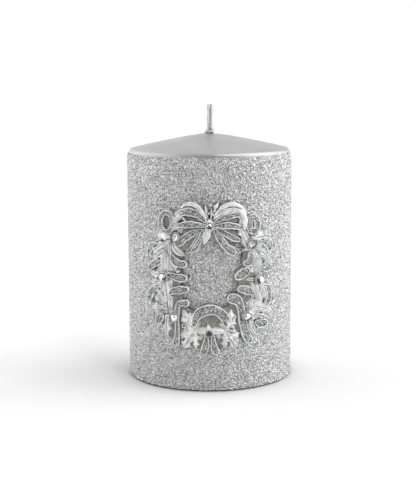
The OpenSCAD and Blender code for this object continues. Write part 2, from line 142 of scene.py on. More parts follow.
# Ruffled outer ends of the bow's loops, as leaf shapes:
# [root, tip, width, sideways bend, ridges, spikes along each edge].
RUFFLES = {
    "bow_loop_left": [
        [(-10.2, 27.8), (-14.4, 22.4), 3, 0.4, 3, 3],
        [(-10.8, 25), (-14.6, 21.4), 2.6, 0.3, 3, 2],
        [(-9.4, 26.8), (-12.6, 23.8), 2.2, 0.3, 2, 0],
        [(-10.2, 21.6), (-14.4, 20.6), 2.4, 0, 3, 2],
    ],
    "bow_loop_right": [
        [(10.8, 27.2), (14.2, 22.8), 3, -0.4, 3, 3],
        [(11.2, 25), (13.8, 19.4), 2.8, -0.4, 3, 3],
        [(11, 21), (12.6, 16.4), 2.4, -0.3, 2, 2],
    ],
}
# Swells of the backing between the bow's bands: (rise above the curls' seat, leaf shape).
BACKING_SWELLS = [
    (1.5, [(-1.6, 23.2), (-12.4, 24.6), 4, 0, 1, 0]),
    (0.95, [(-2, 20.4), (-11.4, 18.2), 3.6, 0, 1, 0]),
    (1.8, [(1.6, 23), (13, 23.4), 4, 0, 1, 0]),
    (0.95, [(2.4, 20), (13.4, 17.4), 4.6, 0, 1, 0]),
]
# Low ground of the bow, seen past the ends of its bands.
BOW_GROUND = {
    "bow_loop_left": [[(-10.6, 20.8), (-12, 17.4), 2.8, 0, 2, 0]],
    "bow_loop_right": [[(12.4, 20.4), (14.6, 15.6), 4.4, 0, 2, 2]],
}
# Leaves of each sprig, from the lowest up.
SPRIGS = {
    "leaf_left_0": [[(-10.4, 20.8), (-16.8, 20.4), 2.8, 0.2, 3, 2]],
    "leaf_left_1": [
        [(-14.8, 16.8), (-22, 16.8), 5.2, -0.2, 1, 3],
        [(-15, 14.6), (-24, 8.4), 4.6, -0.4, 3, 3],
        [(-16.8, 11.6), (-23.8, 6.6), 3, 0.2, 2, 3],
        [(-17.2, 10.8), (-17.4, 2.8), 5.6, 0.2, 5, 0],
        [(-15.6, 15.6), (-15.1, 8.4), 2.4, 0, 3, 0],
        [(-14.2, 14.2), (-9.9, 9.4), 3.2, -0.5, 2, 0],
        [(-15.8, 7.4), (-12.6, 2.2), 3.4, 0.3, 2, 2],
    ],
    "leaf_left_2": [
        [(-18.4, 1.2), (-25.3, 2.4), 3.2, 0.2, 2, 3],
        [(-18.2, -0.6), (-24.6, -4), 4.4, 0.3, 3, 3],
        [(-18, -3.4), (-23.2, -9.4), 4, 0.3, 3, 3],
        [(-17.4, -0.6), (-16.4, -10), 4.4, 0.3, 2, 3],
    ],
    "leaf_left_3": [
        [(-15.4, -12.4), (-15.4, -6.8), 2.4, 0, 2, 0],
        [(-16.4, -13.2), (-22.6, -14.2), 2.2, -0.2, 2, 2],
        [(-16.8, -14), (-17.4, -23.4), 3.8, 0.3, 2, 2],
        [(-16.4, -11.6), (-25, -12), 4.2, 0.3, 5, 2],
    ],
    "leaf_right_1": [
        [(16.6, 15.4), (23, 16), 3, 0.4, 2, 0],
        [(16.4, 15.6), (21.8, 18.4), 3.8, 0.2, 1, 2],
        [(16.8, 12), (19.5, 0.6), 4.4, 0.3, 6, 0],
        [(17.4, 13), (25.8, 4.8), 4.2, 0.2, 4, 3],
        [(14.6, 12.8), (12.2, 17.6), 2.8, 0.2, 2, 0],
    ],
    "leaf_right_2": [
        [(18.2, -0.4), (13.8, -0.4), 1.6, 0, 2, 0],
        [(16.4, -1.2), (20.8, -9.6), 3.6, -0.5, 5, 0],
        [(19.8, -1.8), (23, -9.6), 3.6, 0.3, 3, 3],
    ],
    "leaf_right_3": [
        [(15.6, -10.8), (26, -14.2), 4.4, 0.4, 6, 0],
        [(15.4, -12.2), (17.2, -7.4), 2.6, 0, 3, 0],
        [(17.6, -14.6), (22.8, -17), 2.6, 0.5, 2, 2],
        [(15.2, -16.8), (18.6, -23), 3.4, -0.3, 4, 0],
    ],
    "leaf_bottom_left": [
        [(-6.8, -20.4), (-10.4, -11.4), 5, 0.3, 1, 2],
        [(-8, -18.4), (-6.4, -13), 3.4, 0, 1, 1],
        [(-5.4, -19.8), (-11.6, -22), 4.2, 0.2, 1, 2],
        [(-6.2, -20), (-10.6, -27.8), 5, 0.3, 2, 3],
        [(-5.6, -19.6), (-5.4, -27.8), 3.6, 0, 1, 3],
    ],
    "leaf_bottom_right": [
        [(6.4, -20.6), (8.3, -11.2), 4.2, -0.3, 1, 3],
        [(7.2, -18.4), (9.8, -14.8), 3, 0, 1, 1],
        [(5.4, -19.8), (10.8, -21.6), 3.8, -0.2, 2, 2],
        [(6.2, -20), (10.9, -27.2), 5, -0.3, 3, 3],
        [(5.6, -19.6), (5.5, -27.6), 3.4, 0, 1, 3],
    ],
    "leaf_bottom_cap": [
        [(2.4, -19.9), (-7.6, -19.8), 4.2, 0.3, 1, 0],
        [(-2.4, -19.9), (7.6, -20), 4, -0.3, 1, 0],
        [(-0.2, -22.4), (-0.7, -17.2), 2.6, 0, 1, 0],
    ],
}
BOW_SPRIG = [
    [(-1, 23), (-3.8, 28), 3.2, 0.3, 2, 2],
    [(-0.6, 23.6), (-1.5, 29.8), 1.6, 0.3, 1, 2],
    [(0.4, 23.4), (0.7, 28.6), 1.7, -0.2, 1, 2],
    [(1.2, 23), (3.8, 28.4), 3.2, -0.3, 2, 2],
    [(1.4, 26), (3.5, 30.4), 2.2, 0.2, 1, 2],
    [(-0.8, 22.8), (-4.4, 25.6), 2.4, 0.2, 2, 0],
]
BOW_KNOT = [(0, 19.2), (0, 24.2), 3.8, 0, 5, 0]
# Broad low leaves that fill the ground between the others.
WEBS = {
    "leaf_left_1": [
        [(-13, 16), (-20.4, 7), 7.4, 0, 3, 4],
        [(-14.4, 9.4), (-17.6, 1.8), 6.4, 0, 3, 3],
    ],
    "leaf_left_2": [
        [(-16.4, 3), (-23.6, -5), 8, 0, 3, 4],
        [(-18.4, 3), (-24.8, 0.4), 3.8, 0, 2, 3],
        [(-17, 6.2), (-21.8, 2.8), 3.4, 0, 3, 0],
        [(-16, -3), (-22.4, -11), 7.4, 0, 3, 4],
        [(-16, 0), (-17.4, -10.4), 6, 0, 3, 3],
    ],
    "leaf_left_3": [
        [(-14.8, -10), (-23.6, -13.4), 6.4, 0, 3, 4],
        [(-15.4, -12), (-17.6, -23), 5, 0, 3, 3],
    ],
    "leaf_right_1": [
        [(13.8, 16.4), (21.6, 5.6), 7.4, 0, 3, 4],
        [(18, 12.6), (24.4, 8.2), 5.4, 0, 3, 3],
        [(17.6, 14.2), (23.6, 10.8), 4.8, 0, 3, 0],
        [(20, 10), (24.8, 4.4), 5.4, 0, 3, 2],
        [(15.8, 11), (19.6, 0.6), 6.6, 0, 3, 3],
    ],
    "leaf_right_2": [
        [(16.8, -0.4), (22.6, -10.4), 7.8, 0, 3, 4],
        [(19.4, -1), (20.6, 5.4), 4, 0, 3, 0],
    ],
    "leaf_right_3": [
        [(14.8, -9.8), (24.6, -13.4), 7, 0, 3, 4],
        [(14.8, -15.6), (17.8, -23), 4.4, 0, 3, 3],
        [(15, -13.4), (22.6, -17.6), 5.4, 0.4, 3, 3],
        [(15.4, -13), (15.6, -8.4), 3.8, 0, 3, 3],
    ],
    "leaf_bottom_left": [
        [(-4.6, -21.4), (-10.6, -12.4), 7.4, 0, 3, 4],
        [(-5.6, -18), (-8, -24.4), 6.4, 0, 2, 3],
        [(-8.4, -18.4), (-11.8, -24.8), 4.4, 0, 1, 2],
        [(-3.6, -19.4), (-3.4, -24.6), 3.4, 0, 1, 2],
    ],
    "leaf_bottom_right": [
        [(5, -21.4), (9.4, -12), 6.6, 0, 3, 4],
        [(5.6, -18), (8, -24), 6.2, 0, 2, 3],
        [(8.2, -18.4), (11, -24.8), 4.2, 0, 1, 2],
        [(3.2, -19.4), (3.4, -24.2), 3.4, 0, 1, 2],
    ],
}
# Raised beads and ringlets among the leaves, as (centre, radius).
BEADS = {
    "leaf_left_1": [((-18, 11.1), 0.8), ((-12, 3.3), 0.6)],
    "leaf_left_2": [((-22.4, -6.6), 0.7)],
    "leaf_bottom_right": [((8.4, -18.6), 0.6), ((8.2, -21.2), 0.5)],
    "bow_sprig": [
        ((-1.5, 25.6), 0.4), ((-0.4, 26.3), 0.4), ((1.3, 25.8), 0.45), ((2.2, 27.3), 0.4),
        ((0.3, 29.4), 0.45), ((-2.6, 27.2), 0.4),
    ],
}
RINGLETS = {
    "leaf_left_3": [((-17.2, -10.9), 0.85)],
    "leaf_bottom_left": [((-3.7, -22.7), 0.7), ((-9.6, -18), 0.9)],
    "leaf_right_2": [((20.6, -1), 0.8)],
}
# Rhinestones: [centre, diameter, lean (right, up), (way its facets with painted dark reflections face, their
# spread, painted table tone)];
# angles are in degrees.
STONES = {
    "rhinestone_bow": [(-0.1, 21.6), 2.2, (0, 10), (-90, 150, 0.7)],
    "rhinestone_left_top": [(-12.9, 16.8), 3.3, (6, 4), (180, 170, 0.6)],
    "rhinestone_left_mid": [(-17.8, 0.8), 3.3, (-8, 12), (-30, 60, 1)],
    "rhinestone_left_low": [(-13.4, -15), 3.3, (4, 6), (190, 110, 1)],
    "rhinestone_bottom": [(-0.3, -20.9), 2.2, (-3, -8), (90, 350, 0)],
    "rhinestone_right_low": [(13.8, -14.7), 3.3, (6, 10), (-60, 120, 0.9)],
    "rhinestone_right_mid": [(19.2, -0.6), 3.3, (-10, 8), (200, 110, 1)],
    "rhinestone_right_top": [(15.9, 13.8), 3.3, (-4, -2), (-10, 220, 0.55)],
}
# Backing sheet: points of its edge and of its opening, which polar() joins round the centre.
BACKING_EDGE = [
    (19, 0), (18.5, 6), (17, 11), (16.5, 16), (18.4, 20), (17.6, 24.4), (15.4, 25), (13, 22.8), (11.6, 26),
    (9, 28.2), (5, 27.6), (2, 24), (-2, 24), (-5, 27.8), (-8.5, 28), (-11.6, 26), (-12.6, 23.4),
    (-15, 26.2), (-17, 26.4), (-19, 23), (-19, 19), (-17.5, 16), (-18, 11), (-19, 6), (-19.5, 0),
    (-19, -6), (-18, -11), (-17, -17), (-15.6, -23.6), (-13.2, -24.4), (-10.2, -20.4), (-9, -22),
    (-4.6, -24), (-4.2, -26.6), (0, -25), (4.6, -26.8), (5, -24), (9, -22), (12, -21), (14.4, -22.6),
    (17, -19), (18.5, -12), (19, -6),
]
BACKING_OPENING = [
    (11, 0), (11.8, 4), (12.6, 9), (13.4, 13), (9.6, 14.4), (4.8, 13.6), (2.6, 17), (0, 17.8),
    (-2.6, 14.4), (-5.4, 12), (-8.8, 12.2), (-11.6, 10), (-11, 4.4), (-11, 0), (-10.8, -6), (-9.4, -10.4),
    (-6.2, -12.4), (-3, -11), (3, -10.8), (6.4, -10.6), (8.4, -8.6), (10.4, -4.6),
]

# ---- Placing and meshing ----

ARC_STEPS = 8
PATH_STEPS = 25
# Width of a glitter grain, and how far the glitter reaches under a channel's lip.
GRAIN = 0.33
TUCK = 0.05
# Section of a cast band, as (distance in from its edge, height above its seat).
CHANNEL = [(0, 0.5), (0.04, 0.76), (0.14, 0.94), (0.3, 1), (0.44, 0.94), (0.53, 0.78), (0.56, 0.4)]
PLAIN = [(0, 0.45), (0.05, 0.72), (0.15, 0.92), (0.35, 1.06), (0.7, 1.16)]
LIP = CHANNEL[-1][0]


def metres(points):
    return np.asarray(points, float) * MM


def on_candle(x, y, r):
    """Points of the flat sheet, bent round the candle at radius r, in metres."""
    a = np.asarray(x) / GRIT_R
    r = r + 0 * a
    return metres(np.stack([r * np.sin(a), -r * np.cos(a), np.asarray(y) + WREATH_Z + 0 * a], -1))


def round_axis(r, a, z):
    """Points at radius r, angle a and height z about the candle's axis, in metres."""
    return metres(np.stack([r * np.cos(a), r * np.sin(a), z], -1).reshape(-1, 3))


def unit(v):
    return v / np.linalg.norm(v)


def full_turn(steps):
    return 2 * np.pi * np.arange(steps) / steps


def ellipse(centre, half_size, out, a):
    """The x and y of an ellipse's points at the angles a, moved outwards by out."""
    return (centre[0] + (half_size[0] + out) * np.cos(a), centre[1] + (half_size[1] + out) * np.sin(a))


def bezier(p, t):
    p = np.asarray(p, float)
    t = np.asarray(t)[:, None]
    return (1 - t) ** 3 * p[0] + 3 * (1 - t) ** 2 * t * p[1] + 3 * (1 - t) * t ** 2 * p[2] + t ** 3 * p[3]


def across(path):
    """Unit vectors to the left of a path, at each of its points."""
    along = np.gradient(path, axis=0)
    along /= np.linalg.norm(along, axis=1)[:, None]
    return np.stack([-along[:, 1], along[:, 0]], -1)


def grid_over(path, half, t):
    """The x and y of a grid over a band; t runs from -1 to 1 across it."""
    side = across(path)
    return [path[:, k:k + 1] + side[:, k:k + 1] * half[:, None] * t for k in (0, 1)]


def blend3(values, s):
    """Start, middle and end values, joined by a smooth curve."""
    a, b, c = values
    return a * (2 * s - 1) * (s - 1) + 4 * b * s * (1 - s) + c * s * (2 * s - 1)


def arched(arch, s):
    """Rise of a band that stands away from its seat between its ends."""
    return arch * np.sin(np.pi * s) ** 0.8


def outline(path, half, inset):
    """Closed outline of a ribbon with round ends, a given distance in from its edge."""
    thinnest = 0.02
    side = across(path)
    reach = np.maximum(half - inset, thinnest)
    left = path + side * reach[:, None]
    right = path - side * reach[:, None]
    turn = np.pi * np.arange(1, ARC_STEPS) / ARC_STEPS

    def cap(i, sign):
        heading = math.atan2(sign * side[i, 1], sign * side[i, 0]) - turn
        return path[i] + reach[i] * np.stack([np.cos(heading), np.sin(heading)], -1)

    return np.concatenate([left, cap(-1, 1), right[::-1], cap(0, -1)])


def grid_faces(rows, columns, closed_rows=False, closed_columns=False):
    """Quads between the neighbouring points of a grid, which may close on itself either way."""
    return [
        [i * columns + j, i * columns + (j + 1) % columns,
         (i + 1) % rows * columns + (j + 1) % columns, (i + 1) % rows * columns + j]
        for i in range(rows - (not closed_rows))
        for j in range(columns - (not closed_columns))
    ]


def hand_cut(controls, half):
    """Centreline and half widths of a band, a little uneven as hand work is."""
    s = np.linspace(0, 1, PATH_STEPS)
    x, y = controls[0]
    slow, quick = 0.07 * np.sin(9 * s + 2.3 * x), 0.05 * np.sin(23 * s + y)
    return bezier(controls, s), blend3(half, s) * (1 + slow + quick)


def ribbon(controls, half, section, seat, drop, arch=0.0):
    """A solid ribbon: rings of one outline at the section's insets and heights."""
    path, half = hand_cut(controls, half)
    s = np.linspace(0, 1, PATH_STEPS)
    waver = 0.09 * np.sin(14 * s + controls[1][1])
    rise = arched(arch, s) + waver
    ends = np.ones(ARC_STEPS - 1)
    rise = np.concatenate([rise, ends * rise[-1], rise[::-1], ends * rise[0]])
    foot = outline(path, half, 0)
    points = [on_candle(foot[:, 0], foot[:, 1], seat - drop)]
    for inset, height in section:
        ring = outline(path, half, inset)
        points.append(on_candle(ring[:, 0], ring[:, 1], seat + height + rise))
    n, rows = len(points[0]), len(points)
    faces = grid_faces(rows, n, closed_columns=True)
    for k, turn in ((0, -1), (rows - 1, 1)):
        there, back = np.arange(k * n, k * n + n).reshape(2, -1).tolist()
        left, end = there[:PATH_STEPS], there[PATH_STEPS:]
        right, start = back[PATH_STEPS - 1::-1], back[PATH_STEPS:]
        lids = [[left[i], left[i + 1], right[i + 1], right[i]] for i in range(PATH_STEPS - 1)]
        lids += [[left[-1]] + end + [right[-1]], [right[0]] + start + [left[0]]]
        faces += [f[::turn] for f in lids]
    return np.concatenate(points), faces


def hoop(centre, half_size, half, section, seat, drop):
    """A closed ribbon round an ellipse."""
    steps = 56
    a = full_turn(steps)
    section = [(0, -drop)] + section
    points = []
    for sign, rings in ((1, section), (-1, section[::-1])):
        for inset, height in rings:
            x, y = ellipse(centre, half_size, sign * (half - inset), a)
            points.append(on_candle(x, y, seat + height))
    return np.concatenate(points), grid_faces(len(points), steps, closed_rows=True, closed_columns=True)


def slab(x, y, top_r, bottom_r, closed_rows=False):
    """A closed solid under a grid of points: its top, a flat underside and its walls."""
    rows, columns = x.shape
    n = rows * columns
    points = np.concatenate([on_candle(x.ravel(), y.ravel(), r) for r in (top_r.ravel(), bottom_r)])
    top = grid_faces(rows, columns, closed_rows)
    faces = top + [[v + n for v in f] for f in top]
    edges = []
    for i in range(rows - (not closed_rows)):
        near, far = i * columns, (i + 1) % rows * columns
        edges += [(near, far), (near + columns - 1, far + columns - 1)]
    if not closed_rows:
        for j in range(columns - 1):
            edges += [(j, j + 1), (n - columns + j, n - columns + j + 1)]
    return points, faces + [[p, q, q + n, p + n] for p, q in edges]


def glitter_bed(path, half, seat, rise, rng, closed=False):
    """Grains heaped in a channel: a fine grid of random heights, domed across the band."""
    foot_h, fill_h, dome_h, grain_h = 0.2, 0.6, 0.26, 0.24
    columns = max(4, int(2 * np.max(half) / GRAIN) + 2)
    t = np.linspace(-1, 1, columns)
    x, y = grid_over(path, half, t)
    grains = rng.uniform(0, 1, x.shape)
    heap = fill_h + dome_h * (1 - t ** 2) + grain_h * grains + rise[:, None]
    return slab(x, y, seat + heap, seat + foot_h, closed)


def channel_bed(controls, half, seat, rng, arch=0.0):
    """The glitter in an open channel, with half-round ends."""
    path, half = hand_cut(controls, half)
    half = half - LIP + TUCK
    length = np.sum(np.linalg.norm(np.diff(path, axis=0), axis=1))
    steps = int(length / GRAIN) + 2
    s, fine = np.linspace(0, 1, PATH_STEPS), np.linspace(0, 1, steps)
    path = np.stack([np.interp(fine, s, path[:, k]) for k in (0, 1)], -1)
    half = np.interp(fine, s, half)
    rise = arched(arch, fine)
    turn = np.radians([25, 50, 72, 86])
    path = np.concatenate([
        path[0] + np.outer(np.sin(turn[::-1]) * half[0], unit(path[0] - path[1])), path,
        path[-1] + np.outer(np.sin(turn) * half[-1], unit(path[-1] - path[-2]))])
    half = np.concatenate([np.cos(turn[::-1]) * half[0], half, np.cos(turn) * half[-1]])
    rise = np.concatenate([turn * 0 + rise[0], rise, turn * 0 + rise[-1]])
    return glitter_bed(path, half, seat, rise, rng)


def hoop_bed(centre, half_size, half, seat, rng):
    """The glitter in a closed ribbon."""
    steps = int(2 * np.pi * max(half_size) / GRAIN)
    a = full_turn(steps)
    path = np.stack(ellipse(centre, half_size, 0, a), -1)
    return glitter_bed(path, np.full(steps, half - LIP + TUCK), seat, 0 * a, rng, closed=True)


def leaf(root, tip, width, bend, ridges, spikes, edge_r, top_r, tilt=0.0):
    """A leaf with ridges from its root to its tip, and spikes along its edges if it has any."""
    rows, columns = 31, 8 * ridges + 5
    widest_at, root_width, thinnest = 0.4, 0.4, 0.05
    notch_width, spike_width, first_notch = 0.68, 0.75, 0.15
    end_height, middle_height = 0.72, 0.28
    groove = 0.6 / math.sqrt(ridges)
    root, tip = np.array(root, float), np.array(tip, float)
    s = np.linspace(0, 1, rows)
    t = np.sin(np.linspace(-np.pi / 2, np.pi / 2, columns))
    along = unit(tip - root)
    side = np.array([-along[1], along[0]])
    path = root + s[:, None] * (tip - root) + (4 * s * (1 - s) * bend)[:, None] * side
    grow, shrink = np.clip(s / widest_at, 0, 1), np.clip((s - widest_at) / (1 - widest_at), 0, 1)
    swell = root_width + (1 - root_width) * np.sin(np.pi / 2 * grow)
    half = width / 2 * swell * (1 - shrink ** 2.4) ** 0.7
    if spikes:
        spike = (1 - np.abs(np.sin(np.pi * (spikes * s - first_notch)))) ** 1.2
        half *= notch_width + spike_width * spike
    half = np.maximum(half, thinnest)
    x, y = grid_over(path, half, t)
    crown = (1 - np.abs(t) ** 3) ** 0.5
    ribs = np.abs(np.sin(np.pi * ridges * (t + 1) / 2)) ** 0.7
    # Grooves and tilt fade out at both ends, and the leaf comes down to its tip.
    fade = np.sin(np.pi * np.clip(0.12 + 0.8 * s, 0, 1)) ** 0.6
    rise = (end_height + middle_height * np.sin(np.pi * s)) * np.sqrt(1 - s ** 6)
    rise, fade = rise[:, None], fade[:, None]
    height = rise * crown * (1 - groove * fade * (1 - ribs)) + tilt * t * crown * fade
    r = edge_r + (top_r - edge_r) * height
    points = on_candle(x.ravel(), y.ravel(), r.ravel())
    faces = [f[::-1] for f in grid_faces(rows, columns)]
    last = columns - 1
    top_row = (rows - 1) * columns
    faces += [[i, i + last, i + columns + last, i + columns] for i in range(0, top_row, columns)]
    faces += [list(range(columns)), [top_row + j for j in reversed(range(columns))]]
    return points, faces


def lathe(profile, steps, relief=None):
    """A closed shell: the closed loop of (radius, height) points, turned round the axis."""
    profile = np.asarray(profile, float)
    a = full_turn(steps)
    r = profile[:, :1] + 0 * a
    z = profile[:, 1:] + 0 * a
    if relief is not None:
        z = z + relief(r, z, a)
    return round_axis(r, a, z), grid_faces(len(profile), steps, closed_rows=True, closed_columns=True)


def add_object(name, data):
    obj = bpy.data.objects.new(name, data)
    bpy.context.scene.collection.objects.link(obj)
    return obj


def piece(name, solids, material, nodes, smooth=True):
    """One object of several solids, which rides on the body and stands for CAD nodes."""
    points, faces, first = [], [], 0
    for p, f in solids:
        points.append(p)
        faces += [[v + first for v in face] for face in f]
        first += len(p)
    mesh = bpy.data.meshes.new(name)
    mesh.from_pydata(np.concatenate(points).tolist(), [], faces)
    shape = bmesh.new()
    shape.from_mesh(mesh)
    bmesh.ops.recalc_face_normals(shape, faces=shape.faces)
    shape.to_mesh(mesh)
    shape.free()
    mesh.polygons.foreach_set("use_smooth", [smooth] * len(mesh.polygons))
    mesh.materials.append(material)
    obj = add_object(name, mesh)
    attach(obj, "root")
    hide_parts(*nodes)
    return obj


# ---- Materials ----


def feed(tree, node, **inputs):
    """Give a node's inputs plain values, or join other nodes' outputs to them."""
    for key, value in inputs.items():
        socket = node.inputs[key.replace("_", " ")]
        if isinstance(value, bpy.types.NodeSocket):
            tree.links.new(value, socket)
        else:
            socket.default_value = value
    return node


def add_node(tree, kind, **inputs):
    return feed(tree, tree.nodes.new("ShaderNode" + kind), **inputs)


def set_stops(node, stops):
    """Give a colour ramp its stops, as (position, colour)."""
    elements = node.color_ramp.elements
    while len(elements) < len(stops):
        elements.new(0.5)
    for element, (at, colour) in zip(elements, stops):
        element.position = at
        element.color = (*colour, 1)


class Nodes:
    """A material's node tree, with short calls to build it. A scale counts repeats to the metre."""

    def __init__(self, name):
        self.material = bpy.data.materials.new(name)
        self.material.use_nodes = True
        self.tree = self.material.node_tree
        self.shader = self.tree.nodes["Principled BSDF"]
        self.place = self.add("TexCoord").outputs["Object"]

    def add(self, kind, **inputs):
        return add_node(self.tree, kind, **inputs)

    def set(self, **inputs):
        feed(self.tree, self.shader, **inputs)

    def noise(self, scale, detail=3):
        return self.add("TexNoise", Vector=self.place, Scale=scale, Detail=detail).outputs["Fac"]

    def grains(self, scale, channel):
        """One random value for each grain."""
        cells = self.add("TexVoronoi", Vector=self.place, Scale=scale)
        return self.add("SeparateColor", Color=cells.outputs["Color"]).outputs[channel]

    def ramp(self, value, stops):
        node = self.add("ValToRGB", Fac=value)
        set_stops(node, stops)
        return node.outputs["Color"]

    def span(self, value, low_to, high_to, low_from=0.0, high_from=1.0):
        node = self.add("MapRange", Value=value, From_Min=low_from, From_Max=high_from,
                        To_Min=low_to, To_Max=high_to)
        return node.outputs["Result"]

    def painted_crevice_shade(self, reach_mm, darkest):
        """Painted shade from ambient occlusion: 1 in the open, down to the darkest value in folds that are
        as narrow as the reach.
        """
        closed, clear = 0.15, 0.85
        node = self.add("AmbientOcclusion", Distance=reach_mm * MM)
        node.samples = 8
        return self.span(node.outputs["AO"], darkest, 1.0, closed, clear)

    def shaded(self, colour, factor):
        node = self.add("VectorMath")
        node.operation = "SCALE"
        feed(self.tree, node, Vector=colour, Scale=factor)
        return node.outputs["Vector"]

    def bump(self, height, strength, depth_mm):
        node = self.add("Bump", Height=height, Strength=strength, Distance=depth_mm * MM)
        self.set(Normal=node.outputs["Normal"])


def grey(value, warm=0.0):
    return (value * (1 + warm), value, value * (1 - warm))


def glass_grit():
    """Silver-coated glass grains: every grain has its own tone, and painted shade darkens the pits between
    them.
    """
    m = Nodes("glass_grit")
    shade = m.grains(3600, "Red")
    tint = m.ramp(shade, [(0, grey(0.17)), (0.35, grey(0.38)), (0.72, grey(0.61)), (1, grey(0.92))])
    m.set(Base_Color=m.shaded(tint, m.painted_crevice_shade(0.6, 0.38)), Metallic=0.6, Roughness=m.span(shade, 0.6, 0.35))
    m.bump(m.noise(5200, 2), 0.6, 0.12)
    return m.material


def lacquer():
    """Satin silver film with fine flakes in it."""
    m = Nodes("lacquer")
    flakes = m.noise(9000, 2)
    clouds = m.noise(120, 3)
    tint = m.ramp(clouds, [(0.3, grey(0.42)), (0.7, grey(0.47))])
    # Painted shade darkens the film where it is hemmed in, at the base edge and round the wick's collar.
    m.set(Base_Color=m.shaded(tint, m.painted_crevice_shade(1, 0.85)), Metallic=0.85, Roughness=m.span(flakes, 0.36, 0.48))
    m.bump(flakes, 0.2, 0.04)
    return m.material


def casting(name, value, rough):
    """Pearl-silver paint on a moulding, with painted shade that leaves it bright where it stands up and grey
    in its folds.
    """
    m = Nodes(name)
    fine = m.noise(2600, 4)
    broad = m.noise(420, 2)
    tint = m.ramp(broad, [(0.35, grey(value * 0.68)), (0.65, grey(value))])
    m.set(Base_Color=m.shaded(tint, m.painted_crevice_shade(0.8, 0.3)), Metallic=0.25,
          Roughness=m.span(fine, rough - 0.06, rough + 0.1))
    m.bump(fine, 0.7, 0.16)
    return m.material


def glitter():
    """Loose grey grains, most of them dark."""
    m = Nodes("glitter")
    shade = m.grains(3400, "Green")
    tint = m.ramp(shade, [
        (0, grey(0.04, -0.03)), (0.5, grey(0.22, -0.03)), (0.8, grey(0.47, -0.02)), (1, grey(0.98))])
    m.set(Base_Color=tint, Metallic=0.6, Roughness=m.span(shade, 0.5, 0.25))
    m.bump(m.noise(6000, 2), 0.5, 0.1)
    return m.material


def umber(name, value):
    """Brownish paint over a coarse ground; on the backing sheet its dark brown is also painted shade."""
    m = Nodes(name)
    ground = m.noise(1900, 3)
    brown = np.array([1, 0.93, 0.8])
    tint = m.ramp(ground, [(0.3, tuple(0.45 * value * brown)), (0.7, tuple(1.7 * value * brown))])
    m.set(Base_Color=tint, Metallic=0.2, Roughness=m.span(ground, 0.35, 0.6))
    m.bump(ground, 0.7, 0.3)
    return m.material


def foiled_glass():
    """Cut glass over foil, with each facet's painted reflection tone in the mesh's facet attribute."""
    m = Nodes("foiled_glass")
    facet = m.add("Attribute")
    facet.attribute_name = PAINTED_REFLECTION_ATTRIBUTE
    clouds = m.noise(2500, 2)
    tint = m.ramp(facet.outputs["Fac"], [
        (0, (0.02, 0.018, 0.016)), (0.5, (0.42, 0.43, 0.45)), (1, (1, 1, 1))])
    m.set(Base_Color=tint, Metallic=0.75, Roughness=m.span(clouds, 0.06, 0.16), Coat_Weight=0.6)
    return m.material


def cotton():
    """Braided cotton soaked in wax."""
    m = Nodes("waxed_cotton")
    wave = m.add("TexWave", Vector=m.place, Scale=900, Distortion=1.5)
    fibres = m.noise(5000, 3)
    tint = m.ramp(fibres, [(0.3, (0.68, 0.66, 0.64)), (0.7, (0.87, 0.86, 0.85))])
    # Painted shade darkens the braid between its strands and at its foot.
    m.set(Base_Color=m.shaded(tint, m.painted_crevice_shade(1.3, 0.5)), Roughness=m.span(fibres, 0.5, 0.75),
          Subsurface_Weight=0.1)
    m.bump(wave.outputs["Fac"], 0.3, 0.08)
    return m.material


def wax():
    m = Nodes("wax")
    clouds = m.noise(150, 4)
    tint = m.ramp(clouds, [(0.3, (0.82, 0.8, 0.74)), (0.7, (0.9, 0.88, 0.83))])
    m.set(Base_Color=tint, Roughness=m.span(clouds, 0.35, 0.5), Subsurface_Weight=0.2)
    m.bump(clouds, 0.2, 0.1)
    return m.material


def steel():
    m = Nodes("steel")
    scratches = m.noise(1500, 4)
    tint = m.ramp(scratches, [(0.3, grey(0.5)), (0.7, grey(0.62))])
    m.set(Base_Color=tint, Metallic=1.0, Roughness=m.span(scratches, 0.28, 0.5))
    m.bump(scratches, 0.2, 0.03)
    return m.material


PAINTED_REFLECTION_ATTRIBUTE = "facet"
GRIT = glass_grit()
LACQUER = lacquer()
CASTING = casting("pearl_casting", 0.86, 0.26)
LEAF_CASTING = casting("pearl_leaf", 0.89, 0.26)
GLITTER = glitter()
# The backing's dark brown is partly its own paint and partly painted shade: the sheet reaches out where
# shade falls on the grit beside the curls.
BACKING = umber("backing", 0.24)
ADHESIVE = umber("adhesive", 0.34)
STONE = foiled_glass()
# The cups are set darker than the other castings: painted shade for the dark ring round each stone.
CUP = casting("cup", 0.7, 0.3)
COTTON = cotton()

# ---- Candle ----


def grit_coat():
    """A crust of grains: a jittered grid whose points stand out at random depths."""
    rng = np.random.default_rng(3)
    grain = 0.46
    depth = 0.52
    jitter = 0.36
    foot = 0.15 * GRIT_LOW
    rim_r, sunk_r = LACQUER_R + 0.02, LACQUER_R - 0.05
    around = round(2 * np.pi * GRIT_R / grain)
    rows = round((GRIT_TOP - foot) / grain) + 1
    a = (np.arange(around) + jitter * rng.uniform(-1, 1, (rows, around))) * 2 * np.pi / around
    z = np.linspace(foot, GRIT_TOP, rows)[:, None] + jitter * grain * rng.uniform(-1, 1, (rows, around))
    r = GRIT_R - depth * rng.beta(1.6, 1.6, (rows, around))
    # The crust crumbles at its upper rim, and both ends close against the lacquer.
    r[-2] -= rng.uniform(0, 0.5, around)
    z = np.clip(z, foot, GRIT_TOP)
    z[-1] = GRIT_TOP + rng.uniform(-0.8, 0.5, around)
    r[0] = r[-1] = rim_r
    under = np.full((1, around), sunk_r)
    a = np.concatenate([a[:1], a, a[-1:]])
    z = np.concatenate([np.full((1, around), foot), z, z[-1:]])
    r = np.concatenate([under, r, under])
    quads = np.array(grid_faces(len(z), around, closed_columns=True))
    flip = rng.random(len(quads)) < 0.5
    first = np.where(flip[:, None], quads[:, [0, 1, 2]], quads[:, [1, 2, 3]])
    second = np.where(flip[:, None], quads[:, [0, 2, 3]], quads[:, [1, 3, 0]])
    faces = np.concatenate([first, second]).tolist()
    piece("grit_crust", [(round_axis(r, a, z), faces)], GRIT, ["grit_coat"], smooth=False)


